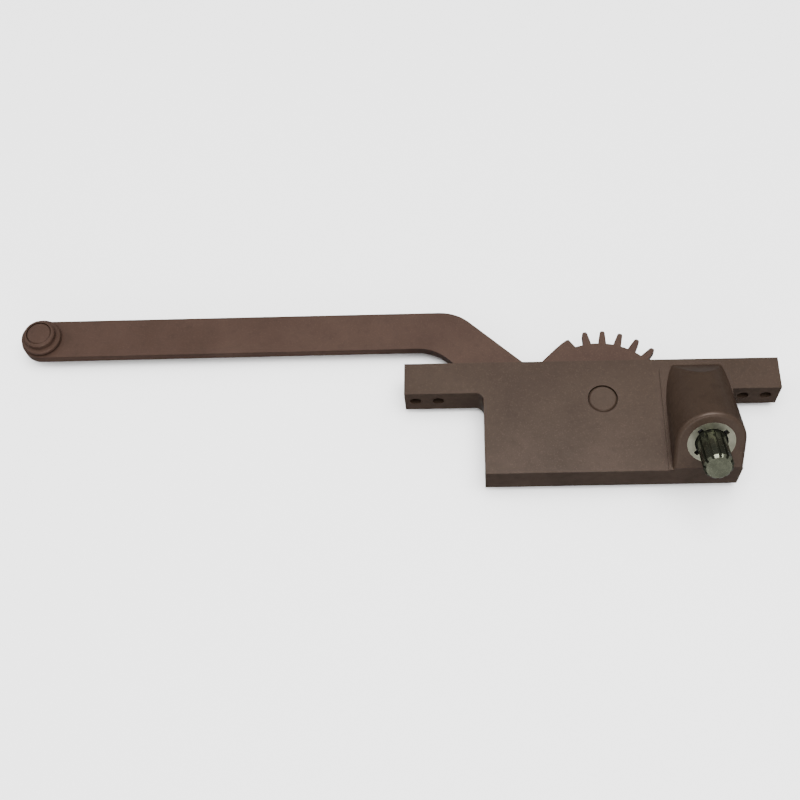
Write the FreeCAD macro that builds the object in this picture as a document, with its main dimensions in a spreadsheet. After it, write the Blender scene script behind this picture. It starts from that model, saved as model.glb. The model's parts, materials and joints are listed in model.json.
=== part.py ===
import FreeCAD, Part
import math
import os

import Sketcher
from FreeCAD import Placement, Rotation, Vector

# Single-arm casement window operator.
# Frame: +Z up, +X right, -Y into the room. The origin is the middle of the inner
# screw-hole pair, on the flat back face that bears on the window frame.

doc = FreeCAD.newDocument("CasementOperator")

# ---------------------------------------------------------------- driving sizes
SIZES = [
    # housing
    ("inner_spacing", 93.6), ("hole_pitch", 7.0), ("screw_hole", 3.6), ("ear_margin", 3.7),
    ("span_shift", 0.4), ("ear_depth", 10.5), ("hole_height", 5.4), ("body_left", 32.9),
    ("top_wall", 2.6), ("front_wall", 1.2), ("side_wall", 1.6), ("corner_round", 2.5),
    ("front_room", 2.3), ("boss_wall", 3.25), ("boss_back", 1.9), ("boss_lean", 41.5),
    ("boss_round", 1.2), ("end_round", 1.2), ("nose_depth", 4.4), ("foot_width", 1.1),
    ("foot_rise", 0.5), ("well_wall", 1.2), ("well_drop", 2.3),
    # worm shaft line, measured from the middle of the boss face
    ("shaft_tilt", 29.0), ("face_height", 19.6), ("stub_length", 12.0), ("stub_dia", 8.7),
    ("spline_depth", 0.75), ("spline_width", 1.15), ("spline_count", 12),
    ("lower_journal", 4.4), ("lower_length", 3.4), ("collar_low", 15.2), ("collar_height", 1.2),
    ("worm_top", 19.0), ("worm_end", 29.5), ("worm_core", 6.1), ("worm_shift", 1.336),
    ("thread_height", 3.55), ("thread_root", 2.6), ("thread_tip", 0.9),
    ("ring_height", 1.0), ("ring_notch", 1.7),
    ("seal_cord", 1.3), ("washer_height", 0.8), ("bearing_wall", 1.1),
    # arm pivot and gear
    ("pivot_x", 3.2), ("pivot_back", 13.2), ("pin_dia", 6.0), ("bush_wall", 1.2),
    ("gear_count", 28), ("gear_tip", 50.8), ("tooth_height", 4.4), ("tooth_tip", 1.6),
    ("tooth_root", 2.6), ("teeth_cut", 8), ("first_tooth", -8.9), ("swing", 68.0),
    ("gear_thick", 2.6), ("shim_thick", 0.4), ("shim_dia", 16.0), ("cover_thick", 1.2),
    # arm and roller
    ("arm_thick", 3.0), ("arm_width", 13.0), ("arm_reach", 175.6), ("arm_offset", 27.6),
    ("bar_rise", 0.7), ("knee_reach", 51.2), ("shoulder_reach", 44.2), ("knee_angle", 42.6),
    ("knee_run", 27.2), ("knee_round", 14.0), ("hub_dia", 24.0), ("rivet_dia", 3.6),
    ("roller_flange", 12.2), ("roller_dia", 9.6), ("flange_height", 1.5),
    ("roller_height", 3.6), ("stud_dia", 4.0), ("stud_head", 7.4), ("stud_gap", 0.4),
    # fasteners and clearances
    ("cover_screw", 2.5), ("cover_head", 4.4), ("screw_head", 1.2), ("head_height", 1.0),
    ("run_fit", 0.05), ("set_fit", 0.02), ("mesh_gap", 0.8), ("air_gap", 0.5),
]

# Sizes that follow from the driving ones.
DERIVED = [
    # layers from the bottom up
    ("bottom", "-Sizes.hole_height"),
    ("cover_top", "bottom + Sizes.cover_thick"),
    ("arm_z", "cover_top + Sizes.shim_thick"),
    ("gear_z", "arm_z + Sizes.arm_thick"),
    ("shim_z", "gear_z + Sizes.gear_thick"),
    ("ceiling", "shim_z + Sizes.shim_thick"),
    ("top", "ceiling + Sizes.top_wall"),
    ("body_height", "top - bottom"),
    # gear and worm
    ("gear_root", "Sizes.gear_tip / 2 - Sizes.tooth_height"),
    ("mesh_radius", "(Sizes.gear_tip - Sizes.thread_height + Sizes.mesh_gap) / 2"),
    ("gear_pitch", "2 * pi * mesh_radius / Sizes.gear_count"),
    ("worm_pitch", "gear_pitch * cos(Sizes.shaft_tilt * 1 deg) / 0.9286"),
    ("worm_dia", "Sizes.worm_core + 2 * Sizes.thread_height"),
    ("shaft_offset", "Sizes.gear_tip / 2 + Sizes.mesh_gap + Sizes.worm_core / 2"),
    ("shaft_x", "Sizes.pivot_x + shaft_offset"),
    ("step_angle", "360 / Sizes.gear_count"),
    ("gap_angle", "Sizes.first_tooth + (Sizes.teeth_cut - 1.5) * step_angle"),
    ("last_tooth", "Sizes.first_tooth + (Sizes.teeth_cut - 1) * step_angle"),
    ("gear_middle", "gear_z + Sizes.gear_thick / 2"),
    ("face_z", "Sizes.face_height - Sizes.hole_height"),
    ("face_forward", "Sizes.pivot_back - mesh_radius * cos(gap_angle * 1 deg)"
                     " + Sizes.worm_shift + (face_z - gear_middle) / tan(Sizes.shaft_tilt * 1 deg)"),
    ("mesh_x", "mesh_radius * sin(gap_angle * 1 deg) - shaft_offset"),
    ("mesh_y", "face_forward - Sizes.pivot_back + mesh_radius * cos(gap_angle * 1 deg)"),
    ("mesh_z", "gear_middle - face_z"),
    ("mesh_up", "mesh_y * sin(Sizes.shaft_tilt * 1 deg) + mesh_z * cos(Sizes.shaft_tilt * 1 deg)"),
    ("mesh_along", "mesh_z * sin(Sizes.shaft_tilt * 1 deg) - mesh_y * cos(Sizes.shaft_tilt * 1 deg)"),
    ("thread_low", "Sizes.thread_root / 2 - Sizes.worm_end"),
    ("thread_turn", "180 + atan(mesh_up / mesh_x) / 1 deg"
                    " + 360 * (mesh_along - thread_low) / worm_pitch"),
    ("collar_top", "Sizes.collar_height - Sizes.collar_low"),
    ("journal_dia", "Sizes.stub_dia + 0.2"),
    ("well_dia", "max(worm_dia + 10 * Sizes.run_fit; journal_dia + 4 * Sizes.seal_cord)"),
    ("bearing_dia", "Sizes.lower_journal + 2 * Sizes.run_fit + 2 * Sizes.bearing_wall"),
    ("ring_bore", "Sizes.stub_dia + 1.1"),
    # housing
    ("outer_spacing", "Sizes.inner_spacing + 2 * Sizes.hole_pitch"),
    ("left_end", "Sizes.span_shift - outer_spacing / 2 - Sizes.ear_margin"),
    ("right_end", "Sizes.span_shift + outer_spacing / 2 + Sizes.ear_margin"),
    ("boss_half", "well_dia / 2 + Sizes.boss_wall"),
    ("body_right", "shaft_x + boss_half"),
    ("gear_reach", "Sizes.gear_tip / 2 * cos(max(180 - last_tooth - Sizes.swing; 0) * 1 deg)"),
    ("body_depth", "max(Sizes.pivot_back + gear_reach + Sizes.front_room;"
                   " face_forward + Sizes.nose_depth)"),
    ("cavity_x", "-Sizes.body_left + Sizes.side_wall"),
    ("cavity_y", "-body_depth + Sizes.front_wall"),
    # pivot and arm
    ("bush_dia", "Sizes.pin_dia + 2 * Sizes.run_fit + 2 * Sizes.bush_wall"),
    ("pin_head", "Sizes.pin_dia + 2.7"),
    ("rivet_ring", "gear_root - 3.4"),
    ("bar_y", "Sizes.arm_offset + Sizes.bar_rise"),
    ("slot_x", "Sizes.pivot_x - Sizes.knee_reach - 2.2 + (bar_y - Sizes.pivot_back"
               " - Sizes.arm_width / 2) / tan(Sizes.knee_angle * 1 deg)"),
]


def make_sheet(name, rows, formula):
    """Add a spreadsheet with one named value per row."""
    sheet = doc.addObject("Spreadsheet::Sheet", name)
    for row, (alias, value) in enumerate(rows, start=1):
        sheet.set(f"A{row}", alias)
        sheet.set(f"B{row}", f"={value}" if formula else str(value))
        sheet.setAlias(f"B{row}", alias)
    doc.recompute()
    return sheet


make_sheet("Sizes", SIZES, formula=False)
derived = make_sheet("Derived", DERIVED, formula=True)


def value(expression):
    """Evaluate an expression over the two sheets."""
    result = derived.evalExpression(expression)
    return float(getattr(result, "Value", result))


# ------------------------------------------------------------- modelling helpers
def new_body(label, x="0", y="0", z="0", tilted=False):
    """A body placed by expressions; a tilted one has its own Z along the shaft."""
    body = doc.addObject("PartDesign::Body", label)
    body.Label = label
    if tilted:
        x, y, z = "Derived.shaft_x", "-Derived.face_forward", "Derived.face_z"
        body.Placement = Placement(Vector(), Rotation(Vector(1, 0, 0), 60))
        body.setExpression("Placement.Rotation.Angle", "90 - Sizes.shaft_tilt")
    for axis, expression in zip("xyz", (x, y, z)):
        body.setExpression(f"Placement.Base.{axis}", expression)
    return body


def origin_feature(body, role):
    return next(item for item in body.Origin.OriginFeatures if item.Role == role)


def new_sketch(body, name, plane="XY_Plane", lift="0", turn=None, on_shaft=False):
    """A sketch on an origin plane: lifted, turned in its plane, or square to the shaft."""
    sketch = body.newObject("Sketcher::SketchObject", name)
    sketch.AttachmentSupport = [(origin_feature(body, plane), "")]
    sketch.MapMode = "FlatFace"
    if on_shaft:
        sketch.AttachmentOffset = Placement(Vector(), Rotation(Vector(1, 0, 0), 60))
        sketch.setExpression("AttachmentOffset.Rotation.Angle", "90 - Sizes.shaft_tilt")
        sketch.setExpression("AttachmentOffset.Base.x", "Derived.shaft_x")
        sketch.setExpression("AttachmentOffset.Base.y",
                             f"-Derived.face_forward - ({lift}) * cos(Sizes.shaft_tilt * 1 deg)")
        sketch.setExpression("AttachmentOffset.Base.z",
                             f"Derived.face_z + ({lift}) * sin(Sizes.shaft_tilt * 1 deg)")
        return sketch
    if turn is not None:
        spin_axis = Vector(0, 0, 1) if plane == "XY_Plane" else Vector(0, 1, 0)
        sketch.AttachmentOffset = Placement(Vector(), Rotation(spin_axis, 10))
        sketch.setExpression("AttachmentOffset.Rotation.Angle", turn)
    sketch.setExpression("AttachmentOffset.Base.z", lift)
    return sketch


def pin_point(sketch, geometry, end, x, y):
    """Hold one point of a sketch at two expressions."""
    for kind, expression in (("DistanceX", x), ("DistanceY", y)):
        constraint = Sketcher.Constraint(kind, -1, 1, geometry, end, value(expression))
        index = sketch.addConstraint(constraint)
        sketch.setExpression(f"Constraints[{index}]", expression)


def polygon(sketch, points):
    """Draw a closed outline through points given as expression pairs."""
    start = sketch.GeometryCount
    places = [Vector(value(x), value(y), 0) for x, y in points]
    count = len(points)
    for index in range(count):
        sketch.addGeometry(Part.LineSegment(places[index], places[(index + 1) % count]), False)
    for index in range(count):
        following = start + (index + 1) % count
        sketch.addConstraint(Sketcher.Constraint("Coincident", start + index, 2, following, 1))
    for index, (x, y) in enumerate(points):
        pin_point(sketch, start + index, 1, x, y)
    return sketch


def circle(sketch, diameter, x="0", y="0"):
    """Draw a circle by its diameter and centre."""
    centre = Vector(value(x), value(y), 0)
    index = sketch.addGeometry(Part.Circle(centre, Vector(0, 0, 1), value(diameter) / 2), False)
    pin_point(sketch, index, 3, x, y)
    size = sketch.addConstraint(Sketcher.Constraint("Diameter", index, value(diameter)))
    sketch.setExpression(f"Constraints[{size}]", diameter)
    return sketch


def pad(body, sketch, length, downward=False):
    feature = body.newObject("PartDesign::Pad", sketch.Name + "_pad")
    feature.Profile = sketch
    feature.Reversed = downward
    feature.setExpression("Length", length)
    sketch.Visibility = False
    return feature


def pocket(body, sketch, length, upward=False):
    """Cut from a sketch: against its normal, along it when upward, or both ways."""
    doc.recompute()
    before = body.Shape.Volume
    feature = body.newObject("PartDesign::Pocket", sketch.Name + "_cut")
    feature.Profile = sketch
    feature.Reversed = upward
    if length is None:
        feature.Type = "ThroughAll"
        feature.Midplane = True
    else:
        feature.setExpression("Length", length)
    doc.recompute()
    if body.Shape.Volume > before - 1e-6:
        raise ValueError(f"{feature.Name} removes nothing")
    return feature


def turned(body, name, points, turn=None):
    """A turned piece from its half section: radius and height pairs."""
    sketch = polygon(new_sketch(body, name, plane="XZ_Plane", turn=turn), points)
    feature = body.newObject("PartDesign::Revolution", name + "_turn")
    feature.Profile = sketch
    feature.ReferenceAxis = (sketch, ["V_Axis"])
    feature.Angle = 360
    return feature


def tube(label, outer, inner, low, high, **place):
    """A plain ring between two diameters and two heights."""
    body = new_body(label, **place)
    section = [(f"({inner}) / 2", low), (f"({outer}) / 2", low),
               (f"({outer}) / 2", high), (f"({inner}) / 2", high)]
    turned(body, label + "_section", section)
    return body


def polar(radius, angle):
    """A point at a radius and an angle clockwise from +Y, as expressions."""
    return f"({radius}) * sin(({angle}) * 1 deg)", f"({radius}) * cos(({angle}) * 1 deg)"


def upright_edges(shape, places, reach=0.6):
    """Names of the upright edges of a shape that stand nearest the given plan points."""
    names = []
    for x, y in places:
        target = Vector(value(x), value(y), 0)
        best = None
        for number, edge in enumerate(shape.Edges, start=1):
            if len(edge.Vertexes) != 2 or not isinstance(edge.Curve, Part.Line):
                continue
            low, high = (vertex.Point for vertex in edge.Vertexes)
            if math.hypot(low.x - high.x, low.y - high.y) > 1e-4:
                continue
            distance = math.hypot(low.x - target.x, low.y - target.y)
            if distance < reach and (best is None or distance < best[0]):
                best = (distance, f"Edge{number}")
        if best is None:
            raise ValueError(f"no upright edge near {target}")
        names.append(best[1])
    return names


def fillet(body, base, places, radius):
    """Round upright edges of a body, found in the body's own frame."""
    doc.recompute()
    feature = body.newObject("PartDesign::Fillet", base.Name + "_round")
    feature.Base = (base, upright_edges(base.Shape, places))
    feature.setExpression("Radius", radius)
    return feature


def edges_within(shape, low, high, rise):
    """Names of the edges that lie in a box given by two corners and climb at least a rise."""
    names = []
    for number, edge in enumerate(shape.Edges, start=1):
        box = edge.BoundBox
        if (box.XMin > low[0] and box.XMax < high[0] and box.YMin > low[1]
                and box.YMax < high[1] and box.ZMin > low[2] and box.ZMax < high[2]
                and box.ZLength >= rise):
            names.append(f"Edge{number}")
    return names


def round_edges(body, name, low, high, radius, rise=0.0):
    """Round the edges of a body that lie in a box."""
    doc.recompute()
    edges = edges_within(body.Shape, low, high, rise)
    if not edges:
        raise ValueError(f"{name} finds no edge")
    base = body.Tip
    feature = body.newObject("PartDesign::Fillet", name)
    feature.Base = (base, edges)
    feature.setExpression("Radius", radius)


# --------------------------------------------------------------------- housing
PIVOT_Y = "-Sizes.pivot_back"
INNER_SCREW_ROW = "Sizes.inner_spacing / 2"
OUTER_SCREW_ROW = "Derived.outer_spacing / 2"
COVER_SCREWS = [
    ("Derived.cavity_x + 2.4", "Derived.cavity_y + 2.4"),
    ("Sizes.pivot_x - 4.2", "Derived.cavity_y + 2.3"),
    ("Derived.shaft_x - 4.5", "Derived.cavity_y + 3.0"),
]
COVER_STEP_X = "Derived.shaft_x - 8.7"
COVER_STEP_Y = "Derived.cavity_y + 6.1"
COVER_RIGHT = "Derived.shaft_x - 0.5"
SWEEP = "(Sizes.gear_tip / 2 + Sizes.air_gap)"
FAR = "2 * Derived.body_depth"
UNDER = [(f"-{FAR}", f"-{FAR}"), (FAR, f"-{FAR}"), (FAR, FAR), (f"-{FAR}", FAR)]


def cover_outline(inset):
    """The bottom cover's outline, drawn in from the recess by an inset."""
    return [
        (f"Derived.cavity_x + {inset}", f"-{inset}"),
        (f"Derived.cavity_x + {inset}", f"Derived.cavity_y + {inset}"),
        (f"{COVER_RIGHT} - {inset}", f"Derived.cavity_y + {inset}"),
        (f"{COVER_RIGHT} - {inset}", f"{COVER_STEP_Y} - {inset}"),
        (f"{COVER_STEP_X} - {inset}", f"{COVER_STEP_Y} - {inset}"),
        (f"{COVER_STEP_X} - {inset}", f"-{inset}"),
    ]


housing = new_body("housing")
plan = new_sketch(housing, "plan", lift="Derived.bottom")
polygon(plan, [
    ("Derived.left_end", "0"),
    ("Derived.left_end", "-Sizes.ear_depth"),
    ("-Sizes.body_left", "-Sizes.ear_depth"),
    ("-Sizes.body_left", "-Derived.body_depth"),
    ("Derived.body_right", "-Derived.body_depth"),
    ("Derived.body_right", "-Sizes.ear_depth"),
    ("Derived.right_end", "-Sizes.ear_depth"),
    ("Derived.right_end", "0"),
])
plan_pad = pad(housing, plan, "Derived.body_height")
fillet(housing, plan_pad, [("-Sizes.body_left", "-Sizes.ear_depth")], "Sizes.corner_round")

# The boss round the shaft: a half-round top over straight cheeks, square to the shaft.
boss = new_sketch(housing, "boss", on_shaft=True)
circle(boss, "2 * Derived.boss_half")
pad(housing, boss, "Sizes.worm_end + 6", downward=True)
cheeks = new_sketch(housing, "boss_cheeks", on_shaft=True)
polygon(cheeks, [
    ("-Derived.boss_half", "0"),
    ("Derived.boss_half", "0"),
    ("Derived.boss_half", f"-{FAR}"),
    ("-Derived.boss_half", f"-{FAR}"),
])
pad(housing, cheeks, "Sizes.worm_end + 6", downward=True)


def trim(name, points, plane="XY_Plane", length=FAR, lift="0"):
    sketch = polygon(new_sketch(housing, name, plane=plane, lift=lift), points)
    return pocket(housing, sketch, length)


trim("under", UNDER, lift="Derived.bottom")

# The well under the boss that holds the lower end of the worm.
well = new_sketch(housing, "well", on_shaft=True, lift="-Sizes.worm_end / 2")
circle(well, "Derived.well_dia + 2 * Sizes.well_wall")
pad(housing, well, "Sizes.worm_end / 2 + Sizes.lower_length + 2", downward=True)
trim("under_well", UNDER, lift="Derived.bottom - Sizes.well_drop")

# The boss stops at the front face, and ends short of the back in a leaning wall.
trim("front_face", [
    ("-Derived.body_depth", f"-{FAR}"), ("-Derived.body_depth", FAR),
    (f"-{FAR}", FAR), (f"-{FAR}", f"-{FAR}")], plane="YZ_Plane", length=None)
trim("back_face", [
    ("0", f"-{FAR}"), (FAR, f"-{FAR}"), (FAR, FAR),
    (f"-Sizes.boss_back - tan(Sizes.boss_lean * 1 deg) * ({FAR} - Derived.top)", FAR),
    ("-Sizes.boss_back", "Derived.top"), ("0", "Derived.top")], plane="YZ_Plane", length=None)

# The rounded rim of the boss face.
doc.recompute()
face_middle = Vector(value("Derived.shaft_x"), -value("Derived.face_forward"),
                     value("Derived.face_z"))
rim = [f"Edge{number}" for number, edge in enumerate(housing.Shape.Edges, start=1)
       if isinstance(edge.Curve, Part.Circle)
       and edge.Curve.Center.distanceToPoint(face_middle) < 0.01]
rim_base = housing.Tip
rim_round = housing.newObject("PartDesign::Fillet", "boss_rim")
rim_round.Base = (rim_base, rim)
rim_round.setExpression("Radius", "Sizes.boss_round")

# A round over the far end of the boss.
boss_left = value("Derived.shaft_x - Derived.boss_half")
body_right = value("Derived.body_right")
front = -value("Derived.body_depth")
boss_end = -value("Sizes.boss_back")
flat_top = value("Derived.top")
crown_rise = 2 * value("Derived.boss_half")
round_edges(housing, "boss_end_round",
            (boss_left - 0.1, boss_end - crown_rise / 2, flat_top - 0.01),
            (body_right + 0.1, boss_end + 0.1, flat_top + crown_rise), "Sizes.end_round", rise=1)

# A low foot round the boss.
foot = new_sketch(housing, "boss_foot", lift="Derived.ceiling")
FOOT_LEFT = "Derived.shaft_x - Derived.boss_half - Sizes.foot_width"
FOOT_BACK = "Sizes.foot_width - Sizes.boss_back"
polygon(foot, [
    (FOOT_LEFT, "-Derived.body_depth"),
    (FOOT_LEFT, f"{FOOT_BACK} - 4"),
    (f"{FOOT_LEFT} + 0.3", f"{FOOT_BACK} - 2.6"),
    (f"{FOOT_LEFT} + 1.1", f"{FOOT_BACK} - 1.3"),
    (f"{FOOT_LEFT} + 2.6", f"{FOOT_BACK} - 0.5"),
    (f"{FOOT_LEFT} + 5", f"{FOOT_BACK} - 0.1"),
    (f"{FOOT_LEFT} + 7", FOOT_BACK),
    ("Derived.body_right", FOOT_BACK),
    ("Derived.body_right", "-Derived.body_depth"),
])
pad(housing, foot, "Sizes.top_wall + Sizes.foot_rise")

# Inside: gear and arm chamber, open at the back and closed below by the cover.
chamber = new_sketch(housing, "chamber", lift="Derived.bottom")
polygon(chamber, [
    ("Derived.slot_x", "1"),
    ("Derived.slot_x", "0"),
    ("Derived.cavity_x",
     "(Derived.slot_x - Derived.cavity_x) * tan(Sizes.knee_angle * 1 deg)"),
    ("Derived.cavity_x", "Derived.cavity_y"),
    (COVER_STEP_X, "Derived.cavity_y"),
    (COVER_STEP_X, "1"),
])
pocket(housing, chamber, "Derived.body_height - Sizes.top_wall", upward=True)
sweep = new_sketch(housing, "tooth_sweep", lift="Derived.cover_top")
sweep_corners = [polar(f"{SWEEP} / cos(15 deg)", angle) for angle in (45, 75, 105, 135)]
polygon(sweep, [(f"Sizes.pivot_x + {x}", f"{y} - Sizes.pivot_back")
                for x, y in sweep_corners])
pocket(housing, sweep, "Derived.ceiling - Derived.cover_top", upward=True)
recess = polygon(new_sketch(housing, "cover_recess", lift="Derived.bottom"), cover_outline("0"))
pocket(housing, recess, "Sizes.cover_thick", upward=True)

# Posts for the cover screws, and their holes.
posts = new_sketch(housing, "posts", lift="Derived.cover_top")
for post_x, post_y in COVER_SCREWS[:2]:
    circle(posts, "Sizes.cover_screw + 3", post_x, post_y)
pad(housing, posts, "Derived.ceiling - Derived.cover_top + 0.5")
threads = new_sketch(housing, "cover_threads", lift="Derived.bottom")
for post_x, post_y in COVER_SCREWS:
    circle(threads, "Sizes.cover_screw + 2 * Sizes.set_fit", post_x, post_y)
pocket(housing, threads, "Sizes.cover_thick + 5", upward=True)

# Pivot pin hole with a seat for the flush head.
pin_hole = new_sketch(housing, "pin_hole", lift="Derived.top")
circle(pin_hole, "Sizes.pin_dia + 2 * Sizes.set_fit", "Sizes.pivot_x", PIVOT_Y)
pocket(housing, pin_hole, "Sizes.top_wall + 1")
pin_seat = new_sketch(housing, "pin_seat", lift="Derived.top")
circle(pin_seat, "Derived.pin_head + 0.5", "Sizes.pivot_x", PIVOT_Y)
pocket(housing, pin_seat, "Sizes.head_height")

# Bores along the shaft.
worm_bore = circle(new_sketch(housing, "worm_bore", on_shaft=True), "Derived.well_dia")
pocket(housing, worm_bore, "Sizes.worm_end + 5 * Sizes.run_fit")
bearing_bore = new_sketch(housing, "bearing_bore", on_shaft=True)
circle(bearing_bore, "Derived.bearing_dia + 2 * Sizes.set_fit")
pocket(housing, bearing_bore, "Sizes.worm_end + Sizes.lower_length + 0.6")

# Screw holes through the ears, from front to back.
ear_holes = new_sketch(housing, "ear_holes", plane="XZ_Plane")
for side in ("-", ""):
    circle(ear_holes, "Sizes.screw_hole", f"{side}{INNER_SCREW_ROW}", "0")
    circle(ear_holes, "Sizes.screw_hole", f"{side}{OUTER_SCREW_ROW}", "0")
pocket(housing, ear_holes, "Sizes.ear_depth + 1", upward=True)

# ---------------------------------------------------------------- bottom cover
cover = new_body("bottom_cover", z="Derived.bottom")
plate = polygon(new_sketch(cover, "cover_plate"), cover_outline("0.1"))
pad(cover, plate, "Sizes.cover_thick")
cover_holes = new_sketch(cover, "cover_holes")
circle(cover_holes, "Sizes.pin_dia + 2 * Sizes.set_fit", "Sizes.pivot_x", PIVOT_Y)
for screw_x, screw_y in COVER_SCREWS:
    circle(cover_holes, "Sizes.cover_screw + 2 * Sizes.set_fit", screw_x, screw_y)
pocket(cover, cover_holes, "Sizes.cover_thick", upward=True)

for number, (screw_x, screw_y) in enumerate(COVER_SCREWS, start=1):
    screw = new_body(f"cover_screw_{number}", screw_x, screw_y, "Derived.bottom")
    turned(screw, f"screw_section_{number}", [
        ("0", "-0.5"), ("0.6", "-0.5"), ("0.6", "-Sizes.screw_head"),
        ("Sizes.cover_head / 2 - 0.3", "-Sizes.screw_head"),
        ("Sizes.cover_head / 2", "-Sizes.screw_head + 0.3"),
        ("Sizes.cover_head / 2", "0"),
        ("Sizes.cover_screw / 2", "0"),
        ("Sizes.cover_screw / 2", "Sizes.cover_thick + 4"),
        ("Sizes.cover_screw / 2 - 0.5", "Sizes.cover_thick + 4.5"),
        ("0", "Sizes.cover_thick + 4.5"),
    ])

# ------------------------------------------------------------------ arm pivot
pin = new_body("pivot_pin", "Sizes.pivot_x", PIVOT_Y, "Derived.top")
turned(pin, "pin_section", [
    ("0", "-Derived.body_height - 0.9"),
    ("Sizes.pin_dia / 2 - 0.4", "-Derived.body_height - 0.9"),
    ("Sizes.pin_dia / 2", "-Derived.body_height - 0.5"),
    ("Sizes.pin_dia / 2", "-Sizes.head_height"),
    ("Derived.pin_head / 2", "-Sizes.head_height"),
    ("Derived.pin_head / 2", "-0.35"),
    ("Derived.pin_head / 2 - 0.5", "0.15"),
    ("0", "0.15"),
])
SHIM_BORE = "(Sizes.pin_dia + 4 * Sizes.run_fit)"
PIVOT = {"x": "Sizes.pivot_x", "y": PIVOT_Y}
tube("pin_washer", "Derived.pin_head", "(Sizes.pin_dia + 2 * Sizes.set_fit)",
     "-0.5", "0", z="Derived.bottom", **PIVOT)
tube("lower_thrust_washer", "Sizes.shim_dia", SHIM_BORE,
     "0", "Sizes.shim_thick - Sizes.run_fit", z="Derived.cover_top", **PIVOT)
tube("upper_thrust_washer", "Sizes.shim_dia", SHIM_BORE,
     "Sizes.run_fit", "Derived.ceiling - Derived.shim_z", z="Derived.shim_z", **PIVOT)
tube("pivot_bushing", "Derived.bush_dia", "(Sizes.pin_dia + 2 * Sizes.run_fit)",
     "0", "Sizes.arm_thick + Sizes.gear_thick", z="Derived.arm_z", **PIVOT)

# ------------------------------------------------------------------------ arm
RIVETS = [polar("Derived.rivet_ring", -62), polar("Derived.rivet_ring - 2", -92),
          polar("Sizes.hub_dia / 2 - 3.6", 20)]
HUB_BORE = "Derived.bush_dia + 2 * Sizes.set_fit"


def cross_holes(body, name, depth):
    """The bushing bore and rivet holes, shared by the arm and the gear."""
    sketch = circle(new_sketch(body, name), HUB_BORE)
    for rivet_x, rivet_y in RIVETS:
        circle(sketch, "Sizes.rivet_dia + 2 * Sizes.set_fit", rivet_x, rivet_y)
    return pocket(body, sketch, depth, upward=True)


arm = new_body("arm", z="Derived.arm_z", **PIVOT)
bar = new_sketch(arm, "arm_bar")
knee_x = "-Sizes.knee_reach"
knee_y = "Derived.bar_y - Sizes.arm_width / 2"
polygon(bar, [
    ("-Sizes.arm_reach", "Sizes.arm_offset - Sizes.arm_width / 2"),
    (knee_x, knee_y),
    (f"{knee_x} + Sizes.knee_run * cos(Sizes.knee_angle * 1 deg)",
     f"{knee_y} - Sizes.knee_run * sin(Sizes.knee_angle * 1 deg)"),
    polar("Sizes.hub_dia / 2", 209),
    ("0", "0"),
    polar("Sizes.hub_dia / 2", -66),
    ("-Sizes.shoulder_reach", "Derived.bar_y + Sizes.arm_width / 2"),
    ("-Sizes.arm_reach", "Sizes.arm_offset + Sizes.arm_width / 2"),
])
bar_pad = pad(arm, bar, "Sizes.arm_thick")
fillet(arm, bar_pad, [("-Sizes.shoulder_reach", "Derived.bar_y + Sizes.arm_width / 2"),
                      (knee_x, knee_y)], "Sizes.knee_round")
pad(arm, circle(new_sketch(arm, "arm_hub"), "Sizes.hub_dia"), "Sizes.arm_thick")
tip = circle(new_sketch(arm, "arm_tip"), "Sizes.arm_width",
             "-Sizes.arm_reach", "Sizes.arm_offset")
pad(arm, tip, "Sizes.arm_thick")
cross_holes(arm, "arm_holes", "Sizes.arm_thick")
stud_hole = circle(new_sketch(arm, "stud_hole"), "Sizes.stud_dia + 2 * Sizes.set_fit",
                   "-Sizes.arm_reach", "Sizes.arm_offset")
pocket(arm, stud_hole, "Sizes.arm_thick", upward=True)

# ---------------------------------------------------------------- gear sector
gear = new_body("gear_sector", z="Derived.gear_z", **PIVOT)
pad(gear, circle(new_sketch(gear, "gear_blank"), "2 * Derived.gear_root"), "Sizes.gear_thick")
# The stop lobe before the first tooth: its rise over the root circle at each angle.
STOP = [(2.2, 53.1), (2.1, 45.1), (2.05, 38.1), (2.1, 32.1), (2.4, 26.1), (3.0, 19.1),
        (3.35, 14.6), (3.2, 12.9), (-0.6, 9.9)]
stop_lobe = new_sketch(gear, "gear_stop")
polygon(stop_lobe, [("0", "0")] + [
    polar(f"Derived.gear_root + {rise}", f"Sizes.first_tooth - {angle}")
    for rise, angle in STOP])
pad(gear, stop_lobe, "Sizes.gear_thick")
open_side = new_sketch(gear, "gear_open_side")
LAST_EDGE = "(Derived.last_tooth + 5.5)"
polygon(open_side, [
    polar("Derived.gear_root - 0.6", LAST_EDGE), polar("Sizes.gear_tip", LAST_EDGE),
    polar("Sizes.gear_tip", 130), polar("Sizes.gear_tip", 180), polar("Sizes.gear_tip", 225),
    polar("Sizes.gear_tip", 262), polar("Derived.gear_root - 0.6", 262),
    polar("Sizes.hub_dia / 2 - 1", 235), polar("Sizes.hub_dia / 2 - 1", 180),
    polar("Sizes.hub_dia / 2 - 1", 125),
])
pocket(gear, open_side, "Sizes.gear_thick", upward=True)
cross_holes(gear, "gear_holes", "Sizes.gear_thick")
tooth = new_sketch(gear, "tooth", turn="-Sizes.first_tooth")
TIP_Y = "Sizes.gear_tip / 2"
polygon(tooth, [
    ("-Sizes.tooth_root / 2", "Derived.gear_root - 0.4"),
    ("Sizes.tooth_root / 2", "Derived.gear_root - 0.4"),
    ("Sizes.tooth_tip / 2", f"{TIP_Y} - 0.5"),
    ("Sizes.tooth_tip / 2 - 0.35", TIP_Y),
    ("0.35 - Sizes.tooth_tip / 2", TIP_Y),
    ("-Sizes.tooth_tip / 2", f"{TIP_Y} - 0.5"),
])
tooth_pad = pad(gear, tooth, "Sizes.gear_thick")
teeth = gear.newObject("PartDesign::PolarPattern", "teeth")
teeth.Originals = [tooth_pad]
teeth.Axis = (origin_feature(gear, "Z_Axis"), [""])
teeth.Reversed = True
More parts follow.
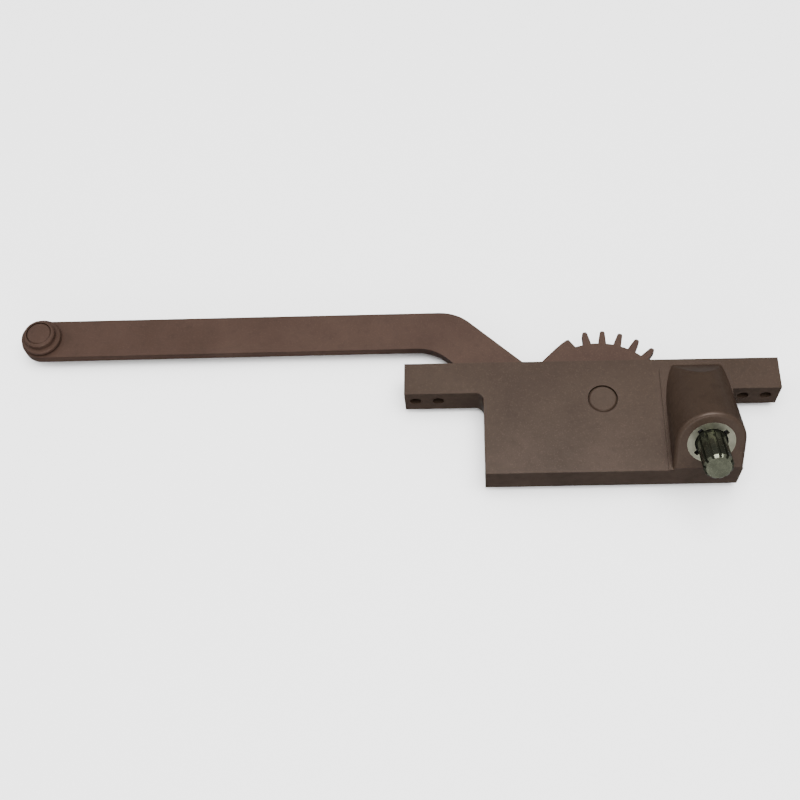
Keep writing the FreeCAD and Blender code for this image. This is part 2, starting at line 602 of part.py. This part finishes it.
teeth.setExpression("Angle", "(Sizes.teeth_cut - 1) * Derived.step_angle")
teeth.setExpression("Occurrences", "Sizes.teeth_cut")
gear.Tip = teeth

for number, (rivet_x, rivet_y) in enumerate(RIVETS, start=1):
    rivet = new_body(f"sector_rivet_{number}", f"Sizes.pivot_x + {rivet_x}",
                     f"{rivet_y} - Sizes.pivot_back", "Derived.arm_z")
    turned(rivet, f"rivet_section_{number}", [
        ("0", "0"), ("Sizes.rivet_dia / 2 - 0.2", "0"), ("Sizes.rivet_dia / 2", "0.2"),
        ("Sizes.rivet_dia / 2", "Sizes.arm_thick + Sizes.gear_thick - 0.2"),
        ("Sizes.rivet_dia / 2 - 0.2", "Sizes.arm_thick + Sizes.gear_thick"),
        ("0", "Sizes.arm_thick + Sizes.gear_thick"),
    ])

# --------------------------------------------------------------------- roller
TIP = {"x": "Sizes.pivot_x - Sizes.arm_reach", "y": "Sizes.arm_offset - Sizes.pivot_back",
       "z": "Derived.gear_z"}
ROLLER_TOP = "Sizes.stud_gap + Sizes.roller_height"
tube("roller_washer", "Sizes.roller_flange - 2", "(Sizes.stud_dia + 4 * Sizes.run_fit)",
     "0", "Sizes.stud_gap - Sizes.run_fit", **TIP)
roller = new_body("roller", **TIP)
turned(roller, "roller_section", [
    ("Sizes.stud_dia / 2 + Sizes.run_fit", "Sizes.stud_gap"),
    ("Sizes.roller_flange / 2 - 0.3", "Sizes.stud_gap"),
    ("Sizes.roller_flange / 2", "Sizes.stud_gap + 0.3"),
    ("Sizes.roller_flange / 2", "Sizes.stud_gap + Sizes.flange_height - 0.3"),
    ("Sizes.roller_flange / 2 - 0.3", "Sizes.stud_gap + Sizes.flange_height"),
    ("Sizes.roller_dia / 2", "Sizes.stud_gap + Sizes.flange_height"),
    ("Sizes.roller_dia / 2", f"{ROLLER_TOP} - 0.4"),
    ("Sizes.roller_dia / 2 - 0.4", ROLLER_TOP),
    ("Sizes.stud_head / 2 + 0.2", ROLLER_TOP),
    ("Sizes.stud_head / 2 + 0.2", f"{ROLLER_TOP} - Sizes.head_height - Sizes.run_fit"),
    ("Sizes.stud_dia / 2 + Sizes.run_fit", f"{ROLLER_TOP} - Sizes.head_height - Sizes.run_fit"),
])
stud = new_body("roller_stud", **TIP)
turned(stud, "stud_section", [
    ("0", "-Sizes.arm_thick"), ("Sizes.stud_dia / 2 - 0.2", "-Sizes.arm_thick"),
    ("Sizes.stud_dia / 2", "0.2 - Sizes.arm_thick"),
    ("Sizes.stud_dia / 2", f"{ROLLER_TOP} - Sizes.head_height"),
    ("Sizes.stud_head / 2", f"{ROLLER_TOP} - Sizes.head_height"),
    ("Sizes.stud_head / 2", f"{ROLLER_TOP} - 0.3"),
    ("Sizes.stud_head / 2 - 0.3", ROLLER_TOP),
    ("0", ROLLER_TOP),
])

# ----------------------------------------------------------------- worm shaft
worm = new_body("worm_shaft", tilted=True)
turned(worm, "shaft_section", [
    ("0", "-Sizes.worm_end - Sizes.lower_length"),
    ("Sizes.lower_journal / 2 - 0.3", "-Sizes.worm_end - Sizes.lower_length"),
    ("Sizes.lower_journal / 2", "0.3 - Sizes.worm_end - Sizes.lower_length"),
    ("Sizes.lower_journal / 2", "-Sizes.worm_end"),
    ("Sizes.worm_core / 2", "-Sizes.worm_end"),
    ("Sizes.worm_core / 2", "1 - Sizes.worm_top"),
    ("Derived.journal_dia / 2", "2.3 - Sizes.worm_top"),
    ("Derived.journal_dia / 2", "-Sizes.collar_low"),
    ("Derived.worm_dia / 2", "-Sizes.collar_low"),
    ("Derived.worm_dia / 2", "Derived.collar_top"),
    ("Derived.journal_dia / 2", "Derived.collar_top"),
    ("Derived.journal_dia / 2", "-0.6"),
    ("Sizes.stub_dia / 2", "-0.3"),
    ("Sizes.stub_dia / 2", "Sizes.stub_length - 0.7"),
    ("Sizes.stub_dia / 2 - 0.7", "Sizes.stub_length"),
    ("0", "Sizes.stub_length"),
])
# The thread passes midway between the last two teeth when the arm is closed.
thread = new_sketch(worm, "thread", plane="XZ_Plane", turn="Derived.thread_turn")
polygon(thread, [
    ("Sizes.worm_core / 2 - 0.3", "Derived.thread_low - Sizes.thread_root / 2"),
    ("Derived.worm_dia / 2", "Derived.thread_low - Sizes.thread_tip / 2"),
    ("Derived.worm_dia / 2", "Derived.thread_low + Sizes.thread_tip / 2"),
    ("Sizes.worm_core / 2 - 0.3", "Derived.thread_low + Sizes.thread_root / 2"),
])
helix = worm.newObject("PartDesign::AdditiveHelix", "thread_helix")
helix.Profile = thread
helix.ReferenceAxis = (thread, ["V_Axis"])
helix.Mode = "pitch-height-angle"
helix.LeftHanded = True
helix.setExpression("Pitch", "Derived.worm_pitch")
helix.setExpression("Height", "Sizes.worm_end - Sizes.worm_top - Sizes.thread_root / 2")
doc.recompute()
groove = new_sketch(worm, "spline_groove", lift="-0.2")
polygon(groove, [
    ("-Sizes.spline_width / 2 + 0.2", "Sizes.stub_dia / 2 - Sizes.spline_depth"),
    ("Sizes.spline_width / 2 - 0.2", "Sizes.stub_dia / 2 - Sizes.spline_depth"),
    ("Sizes.spline_width / 2", "Derived.journal_dia / 2 + 0.5"),
    ("-Sizes.spline_width / 2", "Derived.journal_dia / 2 + 0.5"),
])
groove_cut = pocket(worm, groove, "Sizes.stub_length + 1", upward=True)
spline = worm.newObject("PartDesign::PolarPattern", "spline")
spline.Originals = [groove_cut]
spline.Axis = (origin_feature(worm, "Z_Axis"), [""])
spline.Angle = 360
spline.setExpression("Occurrences", "Sizes.spline_count")
worm.Tip = spline

# -------------------------------------------------------- shaft bearing pieces
BORE_SEAT = "(Derived.well_dia - 2 * Sizes.run_fit)"
JOURNAL = "(Derived.journal_dia + 2 * Sizes.run_fit)"
tube("lower_bearing", "Derived.bearing_dia", "(Sizes.lower_journal + 2 * Sizes.run_fit)",
     "-Sizes.worm_end - Sizes.lower_length - 0.3", "-Sizes.worm_end - 4 * Sizes.run_fit",
     tilted=True)
tube("shaft_thrust_washer", BORE_SEAT, JOURNAL, "Derived.collar_top + Sizes.run_fit",
     "Derived.collar_top + Sizes.washer_height", tilted=True)
tube("shaft_bushing", BORE_SEAT, JOURNAL, "Derived.collar_top + Sizes.washer_height",
     "-Sizes.ring_height - Sizes.seal_cord", tilted=True)
seal = new_body("shaft_seal", tilted=True)
turned(seal, "seal_section", [
    (JOURNAL + " / 2", "-Sizes.ring_height - Sizes.seal_cord"),
    (JOURNAL + " / 2 + Sizes.seal_cord", "-Sizes.ring_height - Sizes.seal_cord"),
    (JOURNAL + " / 2 + Sizes.seal_cord", "-Sizes.ring_height - 0.2"),
    (JOURNAL + " / 2 + 0.3", "-Sizes.ring_height"),
    (JOURNAL + " / 2", "-Sizes.ring_height - 0.2"),
])
lock_ring = tube("lock_ring", BORE_SEAT, "Derived.ring_bore", "-Sizes.ring_height", "0",
                 tilted=True)
NOTCH_DEPTH = "(0.5 * (Derived.well_dia - Derived.ring_bore) / 2)"
notch = new_sketch(lock_ring, "ring_notch_cut", lift="-Sizes.ring_height", turn="42")
polygon(notch, [
    ("-Sizes.ring_notch / 2", "Derived.ring_bore / 2 - 0.5"),
    ("Sizes.ring_notch / 2", "Derived.ring_bore / 2 - 0.5"),
    ("Sizes.ring_notch / 2", f"Derived.ring_bore / 2 + {NOTCH_DEPTH}"),
    ("-Sizes.ring_notch / 2", f"Derived.ring_bore / 2 + {NOTCH_DEPTH}"),
])
notch_cut = pocket(lock_ring, notch, "Sizes.ring_height", upward=True)
notches = lock_ring.newObject("PartDesign::PolarPattern", "notches")
notches.Originals = [notch_cut]
notches.Axis = (origin_feature(lock_ring, "Z_Axis"), [""])
notches.Angle = 360
notches.Occurrences = 4
lock_ring.Tip = notches

# ------------------------------------------------------------ check and export
doc.recompute()
for item in doc.Objects:
    if "Invalid" in item.State or "Error" in item.State:
        raise RuntimeError(f"{item.Name} did not build: {item.State}")
os.makedirs("parts", exist_ok=True)
for body in doc.findObjects("PartDesign::Body"):
    shape = body.Shape
    if shape.isNull() or not shape.isValid() or len(shape.Solids) != 1:
        raise RuntimeError(f"{body.Label} is not one valid solid")
    shape.exportStep(f"parts/{body.Label}.step")
    print(f"{body.Label}: {shape.Volume:.1f} mm3")
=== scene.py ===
import json
import math

import bpy
from mathutils import Matrix, Vector


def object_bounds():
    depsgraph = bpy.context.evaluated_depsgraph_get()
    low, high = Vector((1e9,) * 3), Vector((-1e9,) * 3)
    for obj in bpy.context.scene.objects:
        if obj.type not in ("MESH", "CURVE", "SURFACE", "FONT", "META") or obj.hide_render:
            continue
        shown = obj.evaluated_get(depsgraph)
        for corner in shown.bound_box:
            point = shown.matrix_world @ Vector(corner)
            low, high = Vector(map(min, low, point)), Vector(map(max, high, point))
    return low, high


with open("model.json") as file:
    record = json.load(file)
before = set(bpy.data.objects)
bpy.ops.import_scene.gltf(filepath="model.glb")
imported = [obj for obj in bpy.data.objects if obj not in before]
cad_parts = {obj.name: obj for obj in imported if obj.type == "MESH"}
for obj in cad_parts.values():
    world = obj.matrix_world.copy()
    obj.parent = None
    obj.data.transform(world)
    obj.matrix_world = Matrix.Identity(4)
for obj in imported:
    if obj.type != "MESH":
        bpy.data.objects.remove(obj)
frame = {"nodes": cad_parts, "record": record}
cad_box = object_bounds()
nodes = frame["nodes"]


# ------------------------------------------------------------------ node helpers
class Shader:
    """A small builder for one procedural material."""

    def __init__(self, name):
        self.material = bpy.data.materials.new(name)
        self.material.use_nodes = True
        self.tree = self.material.node_tree
        self.tree.nodes.clear()
        self.output = self.add("ShaderNodeOutputMaterial")
        self.bsdf = self.add("ShaderNodeBsdfPrincipled")
        self.link(self.bsdf.outputs["BSDF"], self.output.inputs["Surface"])
        self.place = self.add("ShaderNodeTexCoord").outputs["Object"]

    def add(self, kind, **settings):
        node = self.tree.nodes.new(kind)
        for key, setting in settings.items():
            setattr(node, key, setting)
        return node

    def link(self, source, target):
        self.tree.links.new(source, target)

    def stretch(self, scale):
        """Object coordinates scaled by a number for each axis."""
        mapping = self.add("ShaderNodeMapping")
        mapping.inputs["Scale"].default_value = scale
        self.link(self.place, mapping.inputs["Vector"])
        return mapping.outputs["Vector"]

    def noise(self, scale, detail=4.0, rough=0.55, vector=None):
        node = self.add("ShaderNodeTexNoise")
        node.inputs["Scale"].default_value = scale
        node.inputs["Detail"].default_value = detail
        node.inputs["Roughness"].default_value = rough
        self.link(vector or self.place, node.inputs["Vector"])
        return node.outputs["Fac"]

    def ramp(self, source, stops):
        node = self.add("ShaderNodeValToRGB")
        while len(node.color_ramp.elements) < len(stops):
            node.color_ramp.elements.new(0.5)
        for element, (position, colour) in zip(node.color_ramp.elements, stops):
            element.position = position
            element.color = (*colour, 1.0)
        self.link(source, node.inputs["Fac"])
        return node.outputs["Color"]

    def remap(self, source, low, high, start=0.3, end=0.7):
        node = self.add("ShaderNodeMapRange")
        for key, setting in (("From Min", start), ("From Max", end),
                             ("To Min", low), ("To Max", high)):
            node.inputs[key].default_value = setting
        self.link(source, node.inputs["Value"])
        return node.outputs["Result"]

    def mix(self, first, second, factor):
        node = self.add("ShaderNodeMix", data_type="RGBA")
        for socket, source in ((node.inputs["Factor"], factor),
                               (node.inputs[6], first), (node.inputs[7], second)):
            if isinstance(source, (int, float)):
                socket.default_value = source
            elif isinstance(source, tuple):
                socket.default_value = (*source, 1.0)
            else:
                self.link(source, socket)
        return node.outputs[2]

    def bump(self, heights):
        """Stack bumps given as (height, strength, distance in metres)."""
        normal = None
        for height, strength, distance in heights:
            node = self.add("ShaderNodeBump")
            node.inputs["Strength"].default_value = strength
            node.inputs["Distance"].default_value = distance
            self.link(height, node.inputs["Height"])
            if normal is not None:
                self.link(normal, node.inputs["Normal"])
            normal = node.outputs["Normal"]
        self.link(normal, self.bsdf.inputs["Normal"])

    def edges(self, radius):
        """A number that is 0 on flat faces and rises where a face turns at an edge."""
        rounded = self.add("ShaderNodeBevel", samples=4)
        rounded.inputs["Radius"].default_value = radius
        plain = self.add("ShaderNodeNewGeometry").outputs["Normal"]
        turn = self.add("ShaderNodeVectorMath", operation="DOT_PRODUCT")
        self.link(rounded.outputs["Normal"], turn.inputs[0])
        self.link(plain, turn.inputs[1])
        flip = self.add("ShaderNodeMath", operation="SUBTRACT")
        flip.inputs[0].default_value = 1.0
        self.link(turn.outputs["Value"], flip.inputs[1])
        return flip.outputs["Value"]


# Noise scales per metre: clouds of about 18 mm, mottle of 2.4 mm and flecks of 0.4 mm.
CLOUD = 55.0
MOTTLE = 420.0
FLECK = 2600.0
# On bare metal: stains of about 5 mm and turning lines of 0.6 mm.
STAIN = 220.0
TURNING = 1800.0
# How far edge wear and the painted edge highlight reach in from an edge, in metres.
PAINT_WEAR_AND_HIGHLIGHT = 0.00035
STEEL_WEAR_AND_HIGHLIGHT = 0.00025


def tint(colour, share):
    """A colour made lighter or darker, and never above full white."""
    return tuple(min(1.0, share * channel) for channel in colour)


def bronze_paint(name, dark, light, rough=(0.30, 0.40), peel=0.35):
    """Satin bronze paint: soft colour clouds, fine metallic flecks and orange peel."""
    shader = Shader(name)
    cloud = shader.noise(CLOUD, 5.0)
    mottle = shader.noise(MOTTLE, 4.0)
    fleck = shader.noise(FLECK, 2.0)
    edge = shader.edges(PAINT_WEAR_AND_HIGHLIGHT)
    colour = shader.ramp(cloud, [(0.3, dark), (0.7, light)])
    colour = shader.mix(colour, tint(dark, 0.72), shader.remap(mottle, 0.0, 0.35, 0.5, 0.75))
    colour = shader.mix(colour, tint(light, 1.9), shader.remap(fleck, 0.0, 0.35, 0.56, 0.72))
    # Paler edges: partly paint wear, partly a painted edge highlight.
    colour = shader.mix(colour, tint(light, 1.5), shader.remap(edge, 0.0, 0.4, 0.0, 0.35))
    shader.link(colour, shader.bsdf.inputs["Base Color"])
    shader.bsdf.inputs["Metallic"].default_value = 0.2
    shader.bsdf.inputs["Specular IOR Level"].default_value = 0.10
    shader.link(shader.remap(mottle, *rough), shader.bsdf.inputs["Roughness"])
    shader.bump([(mottle, peel, 0.00006), (fleck, 0.12, 0.00002)])
    return shader.material


def bare_steel(name, dark, light, rough=(0.28, 0.45), grain=(1.0, 1.0, 0.08)):
    """Bare metal with fine turning lines, stains and paler edges, partly wear and partly a
    painted edge highlight.
    """
    shader = Shader(name)
    cloud = shader.noise(STAIN, 4.0)
    lines = shader.noise(TURNING, 2.0, vector=shader.stretch(grain))
    edge = shader.edges(STEEL_WEAR_AND_HIGHLIGHT)
    colour = shader.ramp(cloud, [(0.3, dark), (0.7, light)])
    # Paler edges: partly wear, partly a painted edge highlight.
    colour = shader.mix(colour, tint(light, 2.2), shader.remap(edge, 0.0, 0.7, 0.0, 0.35))
    shader.link(colour, shader.bsdf.inputs["Base Color"])
    shader.bsdf.inputs["Metallic"].default_value = 0.9
    shader.link(shader.remap(lines, *rough), shader.bsdf.inputs["Roughness"])
    shader.bump([(lines, 0.25, 0.00004)])
    return shader.material


casting = bronze_paint("bronze_casting", (0.0215, 0.0138, 0.0096), (0.0295, 0.0193, 0.0138))
bar_paint = bronze_paint("bronze_bar", (0.0275, 0.0155, 0.0112), (0.037, 0.0215, 0.0158),
                         rough=(0.36, 0.46), peel=0.2)
steel = bare_steel("shaft_steel", (0.055, 0.058, 0.040), (0.095, 0.10, 0.072),
                   rough=(0.16, 0.28))
plate = bare_steel("plated_steel", (0.10, 0.10, 0.075), (0.17, 0.17, 0.13))
bearing = bare_steel("sintered_bronze", (0.16, 0.10, 0.05), (0.26, 0.17, 0.09),
                     rough=(0.45, 0.6))
black = bronze_paint("black_plastic", (0.006, 0.006, 0.006), (0.010, 0.010, 0.010))
roller_plastic = bronze_paint("bronze_plastic", (0.030, 0.016, 0.012), (0.040, 0.023, 0.017),
                              rough=(0.34, 0.44), peel=0.15)

FINISH = {
    "bronze_casting": casting,
    "bronze_arm": bar_paint,
    "plated_steel": plate,
    "shaft_steel": steel,
    "sintered_bronze": bearing,
    "acetal": roller_plastic,
    "rubber": black,
}
for part in frame["record"]["subparts"]:
    piece = nodes[part["node"]]
    piece.data.materials.clear()
    piece.data.materials.append(FINISH[part["material_slot"]])

# Cast, stamped and turned edges are never knife sharp: bevel widths in metres.
BEVELS = {
    "housing": 0.0003,
    "arm": 0.0003,
    "gear_sector": 0.0002,
    "worm_shaft": 0.0001,
    "lock_ring": 0.00012,
    "bottom_cover": 0.0002,
}
for node, width in BEVELS.items():
    bevel = nodes[node].modifiers.new("edges", "BEVEL")
    bevel.width = width
    bevel.segments = 2
    bevel.limit_method = "ANGLE"
    bevel.angle_limit = math.radians(35.0)
    bevel.harden_normals = True

# ------------------------------------------------------------- stage and camera
FLOOR_SIZE = 6.0
FLOOR_GAP = 0.0005
floor_level = cad_box[0][2] - FLOOR_GAP
bpy.ops.mesh.primitive_plane_add(size=FLOOR_SIZE, location=(0.0, 0.0, floor_level))
floor = bpy.context.object
floor.name = "floor"
paper = Shader("floor_paper")
paper_tone = paper.ramp(paper.noise(3.0), [(0.3, (0.90, 0.90, 0.90)), (0.7, (0.92, 0.92, 0.92))])
paper.link(paper_tone, paper.bsdf.inputs["Base Color"])
paper.bsdf.inputs["Roughness"].default_value = 0.9
floor.data.materials.append(paper.material)
# The pale paper lights the object from below but leaves no mirror image on it.
floor.visible_glossy = False

# The camera looks down from the room, turned a little about its own line of sight.
ELEVATION = math.radians(62.89)
ROLL = math.radians(-1.06)
CAMERA_PLACE = (-0.03676, -0.17856, 0.3285)
forward = Vector((0.0, math.cos(ELEVATION), -math.sin(ELEVATION)))
right = Vector((1.0, 0.0, 0.0))
up = right.cross(forward)
turned_right = right * math.cos(ROLL) + up * math.sin(ROLL)
turned_up = up * math.cos(ROLL) - right * math.sin(ROLL)
lens = bpy.data.cameras.new("camera")
lens.sensor_width = 36.0
lens.lens = 54.0
lens.shift_x = -0.0887
lens.clip_start = 0.01
camera = bpy.data.objects.new("camera", lens)
bpy.context.scene.collection.objects.link(camera)
rows = Matrix((turned_right, turned_up, -forward)).transposed()
camera.matrix_world = Matrix.Translation(CAMERA_PLACE) @ rows.to_4x4()
bpy.context.scene.camera = camera


def soft_light(name, place, aim, size, power):
    """A square lamp of a size in metres, with its power in watts."""
    lamp = bpy.data.lights.new(name, "AREA")
    lamp.size = size
    lamp.energy = power
    lamp_object = bpy.data.objects.new(name, lamp)
    bpy.context.scene.collection.objects.link(lamp_object)
    lamp_object.location = place
    direction = Vector(aim) - Vector(place)
    lamp_object.rotation_euler = direction.to_track_quat("-Z", "Y").to_euler()
    lamp_object.visible_camera = False


MIDDLE = (-0.05, 0.0, 0.0)
soft_light("key", (0.05, -0.08, 1.0), MIDDLE, 0.8, 31.0)
soft_light("fill", (-0.9, 0.1, 0.6), MIDDLE, 0.7, 5.0)
soft_light("front", (0.03, -0.98, 0.30), MIDDLE, 0.6, 6.0)

# A studio that is bright above and in front, and dim behind and below.
BRIGHT_SIDE = (0.0, -0.42, 0.907)
STUDIO = [(0.0, 0.18), (0.30, 0.04), (0.50, 0.15), (0.67, 0.70), (0.80, 0.45), (1.0, 0.48)]
world = bpy.data.worlds.new("studio")
bpy.context.scene.world = world
world.use_nodes = True
sky = world.node_tree
direction = sky.nodes.new("ShaderNodeTexCoord").outputs["Generated"]
facing = sky.nodes.new("ShaderNodeVectorMath")
facing.operation = "DOT_PRODUCT"
facing.inputs[1].default_value = BRIGHT_SIDE
share = sky.nodes.new("ShaderNodeMapRange")
share.inputs["From Min"].default_value = -1.0
bands = sky.nodes.new("ShaderNodeValToRGB")
while len(bands.color_ramp.elements) < len(STUDIO):
    bands.color_ramp.elements.new(0.5)
for element, (position, grey) in zip(bands.color_ramp.elements, STUDIO):
    element.position = position
    element.color = (grey, grey, grey, 1.0)
sky.links.new(direction, facing.inputs[0])
sky.links.new(facing.outputs["Value"], share.inputs["Value"])
sky.links.new(share.outputs["Result"], bands.inputs["Fac"])
sky.links.new(bands.outputs["Color"], sky.nodes["Background"].inputs["Color"])
sky.nodes["Background"].inputs["Strength"].default_value = 2.0
